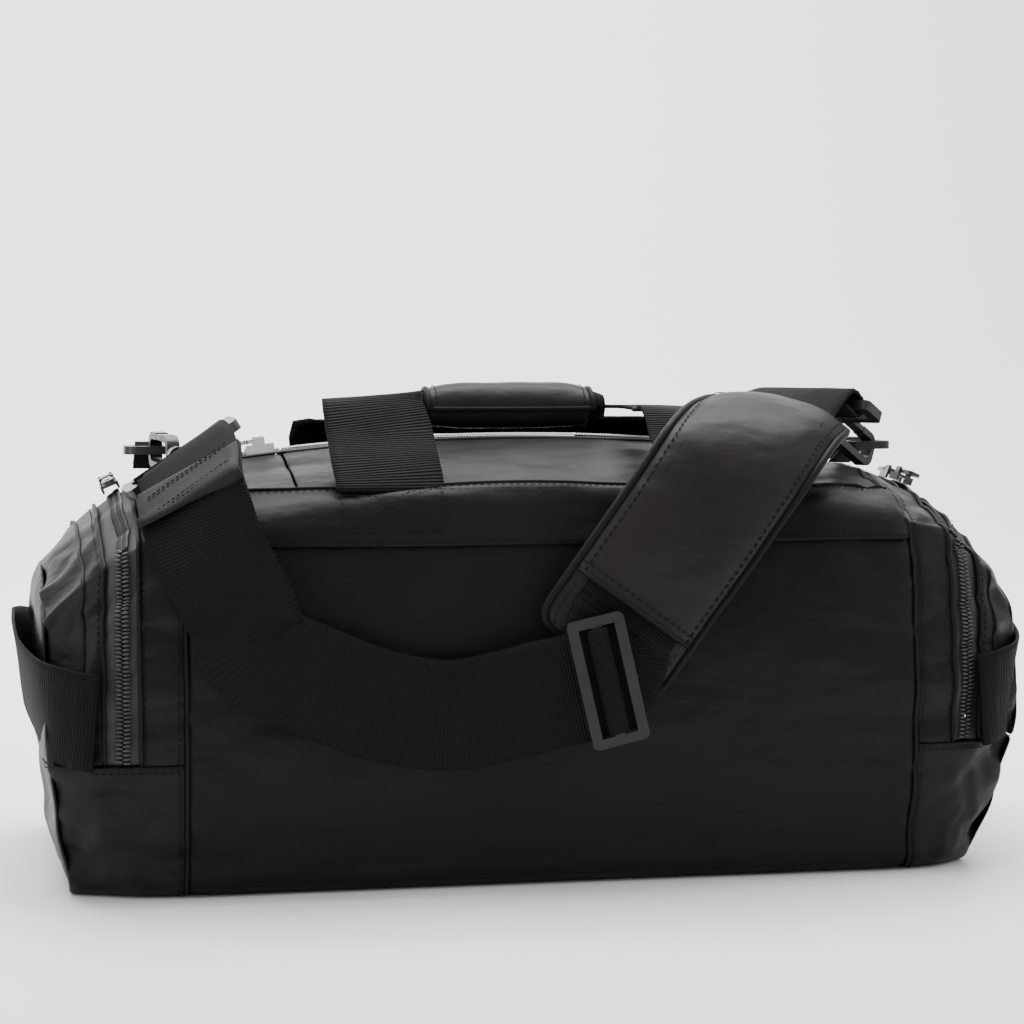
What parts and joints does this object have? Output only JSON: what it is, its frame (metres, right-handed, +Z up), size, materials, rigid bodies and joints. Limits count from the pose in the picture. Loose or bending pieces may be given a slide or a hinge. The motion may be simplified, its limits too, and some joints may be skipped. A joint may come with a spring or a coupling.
{
  "type": "weekender bag",
  "caption": "Soft nylon duffle on a flat base, with a zipped top, a zipped pocket at each end, two carry handles and a padded shoulder strap.",
  "frame": {"origin": "middle of the underside of the base", "axes": "+X along the length, +Y towards the rear, +Z up"},
  "size_m": [0.5076, 0.2582, 0.2345],
  "materials": {
    "nylon": "black satin nylon over thin foam",
    "webbing": "black ribbed webbing",
    "end_zip": "black coil zip and tape",
    "main_zip": "off-white coil on black tape",
    "slider_metal": "polished silver",
    "black_metal": "black enamel",
    "ring_metal": "grey satin metal",
    "black_plastic": "moulded black",
    "leatherette": "matt black",
    "lining": "thin black lining",
    "board": "stiff base board"
  },
  "bodies": {
    "bag": {"base_panel": "nylon", "front_panel": "nylon", "rear_panel": "nylon", "front_yoke": "nylon", "rear_yoke": "nylon", "left_top_end": "nylon", "right_top_end": "nylon", "left_body_strip": "nylon", "right_body_strip": "nylon", "left_lower_gusset": "nylon", "right_lower_gusset": "nylon", "left_end_inner_tape": "end_zip", "right_end_inner_tape": "end_zip", "main_zip_ends": "main_zip", "front_handle_legs": "webbing", "rear_handle_patches": "webbing", "ring_tabs": "webbing", "main_lining": "lining", "base_board": "board"},
    "front_flap": {"front_top_panel": "nylon", "front_zip_half": "main_zip"},
    "rear_flap": {"rear_top_panel": "nylon", "rear_zip_half": "main_zip"},
    "left_end": {"left_end_panel": "nylon", "left_end_outer_tape": "end_zip", "left_grab_handle": "webbing"},
    "right_end": {"right_end_panel": "nylon", "right_end_outer_tape": "end_zip", "right_grab_handle": "webbing"},
    "front_grip": {"front_handle_grip": "webbing", "grip_wrap": "nylon"},
    "wrap_flap": {"grip_wrap_flap": "nylon"},
    "rear_grip": {"rear_handle": "webbing"},
    "strap": {"strap_front_layer": "webbing", "strap_rear_layer": "webbing", "strap_keeper": "leatherette", "shoulder_pad": "nylon", "left_hook_loop": "ring_metal", "right_hook_loop": "black_plastic"},
    "glide": {"tri_glide": "black_plastic", "strap_end_loop": "webbing"},
    "left_slider": {"left_slider": "slider_metal"},
    "left_slider_pull": {"left_slider_pull": "slider_metal"},
    "right_slider": {"right_slider": "slider_metal"},
    "right_slider_pull": {"right_slider_pull": "slider_metal"},
    "left_d_ring": {"left_d_ring": "ring_metal"},
    "right_d_ring": {"right_d_ring": "black_plastic"},
    "left_hook": {"left_hook": "ring_metal"},
    "right_hook": {"right_hook": "black_plastic"},
    "left_hook_gate": {"left_hook_gate": "ring_metal"},
    "right_hook_gate": {"right_hook_gate": "black_plastic"},
    "left_end_slider_front": {"left_end_slider_front": "black_metal"},
    "left_end_slider_front_pull": {"left_end_slider_front_pull": "black_metal"},
    "left_end_slider_rear": {"left_end_slider_rear": "black_metal"},
    "left_end_slider_rear_pull": {"left_end_slider_rear_pull": "black_metal"},
    "right_end_slider_front": {"right_end_slider_front": "black_metal"},
    "right_end_slider_front_pull": {"right_end_slider_front_pull": "black_metal"},
    "right_end_slider_rear": {"right_end_slider_rear": "black_metal"},
    "right_end_slider_rear_pull": {"right_end_slider_rear_pull": "black_metal"}
  },
  "joints": [
    {"name": "front_flap_fold", "type": "hinge", "parent": "bag", "child": "front_flap", "pos_m": [0, -0.098, 0.178], "axis": [-1, 0, 0], "range_deg": [0, 65]},
    {"name": "rear_flap_fold", "type": "hinge", "parent": "bag", "child": "rear_flap", "pos_m": [0, 0.098, 0.178], "axis": [1, 0, 0], "range_deg": [0, 65]},
    {"name": "left_end_open", "type": "hinge", "parent": "bag", "child": "left_end", "pos_m": [-0.234, 0, 0.062], "axis": [0, -1, 0], "range_deg": [0, 85]},
    {"name": "right_end_open", "type": "hinge", "parent": "bag", "child": "right_end", "pos_m": [0.234, 0, 0.062], "axis": [0, 1, 0], "range_deg": [0, 85]},
    {"name": "left_slider_run", "type": "hinge", "parent": "bag", "child": "left_slider", "pos_m": [0, 0, -0.844], "axis": [0, 1, 0], "range_deg": [0, 0.15]},
    {"name": "right_slider_run", "type": "hinge", "parent": "bag", "child": "right_slider", "pos_m": [0, 0, -0.844], "axis": [0, 1, 0], "range_deg": [0, 15.19]},
    {"name": "left_slider_pull_flip", "type": "hinge", "parent": "left_slider", "child": "left_slider_pull", "pos_m": [-0.15389, 0, 0.20086], "axis": [0, 1, 0], "range_deg": [0, 100]},
    {"name": "right_slider_pull_flip", "type": "hinge", "parent": "right_slider", "child": "right_slider_pull", "pos_m": [-0.12824, 0, 0.20431], "axis": [0, 1, 0], "range_deg": [0, 165]},
    {"name": "left_end_slider_front_run", "type": "hinge", "parent": "bag", "child": "left_end_slider_front", "pos_m": [-0.2, 0, -0.07338], "axis": [1, 0, 0], "range_deg": [0, 18.5]},
    {"name": "left_end_slider_front_pull_flip", "type": "hinge", "parent": "left_end_slider_front", "child": "left_end_slider_front_pull", "pos_m": [-0.20229, -0.0082, 0.18619], "axis": [-0.9213, 0.0123, -0.3886], "range_deg": [0, 90]},
    {"name": "left_end_slider_rear_run", "type": "hinge", "parent": "bag", "child": "left_end_slider_rear", "pos_m": [-0.2, 0, -0.07338], "axis": [-1, 0, 0], "range_deg": [0, 18.5]},
    {"name": "left_end_slider_rear_pull_flip", "type": "hinge", "parent": "left_end_slider_rear", "child": "left_end_slider_rear_pull", "pos_m": [-0.20229, 0.0082, 0.18619], "axis": [0.9213, 0.0123, 0.3886], "range_deg": [0, 90]},
    {"name": "right_end_slider_front_run", "type": "hinge", "parent": "bag", "child": "right_end_slider_front", "pos_m": [0.2, 0, -0.07338], "axis": [1, 0, 0], "range_deg": [0, 18.5]},
    {"name": "right_end_slider_front_pull_flip", "type": "hinge", "parent": "right_end_slider_front", "child": "right_end_slider_front_pull", "pos_m": [0.20229, -0.0082, 0.18619], "axis": [-0.9213, -0.0123, 0.3886], "range_deg": [0, 90]},
    {"name": "right_end_slider_rear_run", "type": "hinge", "parent": "bag", "child": "right_end_slider_rear", "pos_m": [0.2, 0, -0.07338], "axis": [-1, 0, 0], "range_deg": [0, 18.5]},
    {"name": "right_end_slider_rear_pull_flip", "type": "hinge", "parent": "right_end_slider_rear", "child": "right_end_slider_rear_pull", "pos_m": [0.20229, 0.0082, 0.18619], "axis": [0.9213, -0.0123, -0.3886], "range_deg": [0, 90]},
    {"name": "front_grip_lift", "type": "hinge", "parent": "bag", "child": "front_grip", "pos_m": [0, -0.06, 0.218], "axis": [1, 0, 0], "range_deg": [0, 75]},
    {"name": "wrap_flap_open", "type": "hinge", "parent": "front_grip", "child": "wrap_flap", "pos_m": [0, 0.0068, 0.22], "axis": [1, 0, 0], "range_deg": [0, 120]},
    {"name": "rear_grip_drop", "type": "hinge", "parent": "bag", "child": "rear_grip", "pos_m": [0, 0.1095, 0.1836], "axis": [-1, 0, 0], "range_deg": [0, 165]},
    {"name": "strap_lift", "type": "hinge", "parent": "bag", "child": "strap", "pos_m": [0, 0.01, 0.2004], "axis": [-1, 0, 0], "range_deg": [0, 110]},
    {"name": "left_ring_turn", "type": "hinge", "parent": "bag", "child": "left_d_ring", "pos_m": [-0.182, 0.01, 0.2004], "axis": [-1, 0, 0], "range_deg": [0, 110]},
    {"name": "right_ring_turn", "type": "hinge", "parent": "bag", "child": "right_d_ring", "pos_m": [0.182, 0.01, 0.2004], "axis": [-1, 0, 0], "range_deg": [0, 110]},
    {"name": "glide_slide", "type": "slide", "parent": "strap", "child": "glide", "axis": [-0.9743, 0, -0.2251], "range_m": [0, 0.015]},
    {"name": "left_hook_swivel", "type": "hinge", "parent": "strap", "child": "left_hook", "pos_m": [-0.17052, -0.04737, 0.1986], "axis": [-0.1801, 0.9824, 0.05], "range_deg": [-6, 6]},
    {"name": "left_gate_press", "type": "hinge", "parent": "left_hook", "child": "left_hook_gate", "pos_m": [-0.17378, -0.02954, 0.20657], "axis": [-0.9836, -0.1803, 0], "range_deg": [0, 12], "stiffness_Nm_per_rad": 0.02},
    {"name": "right_hook_swivel", "type": "hinge", "parent": "strap", "child": "right_hook", "pos_m": [0.15259, -0.03335, 0.21603], "axis": [0.6781, 0.5931, -0.4341], "range_deg": [-6, 6]},
    {"name": "right_gate_press", "type": "hinge", "parent": "right_hook", "child": "right_hook_gate", "pos_m": [0.16744, -0.02036, 0.21435], "axis": [-0.6583, 0.7527, 0], "range_deg": [0, 12], "stiffness_Nm_per_rad": 0.02}
  ],
  "couplings": [
    {"joint": "left_ring_turn", "follows": "strap_lift", "ratio": 1},
    {"joint": "right_ring_turn", "follows": "strap_lift", "ratio": 1}
  ]
}
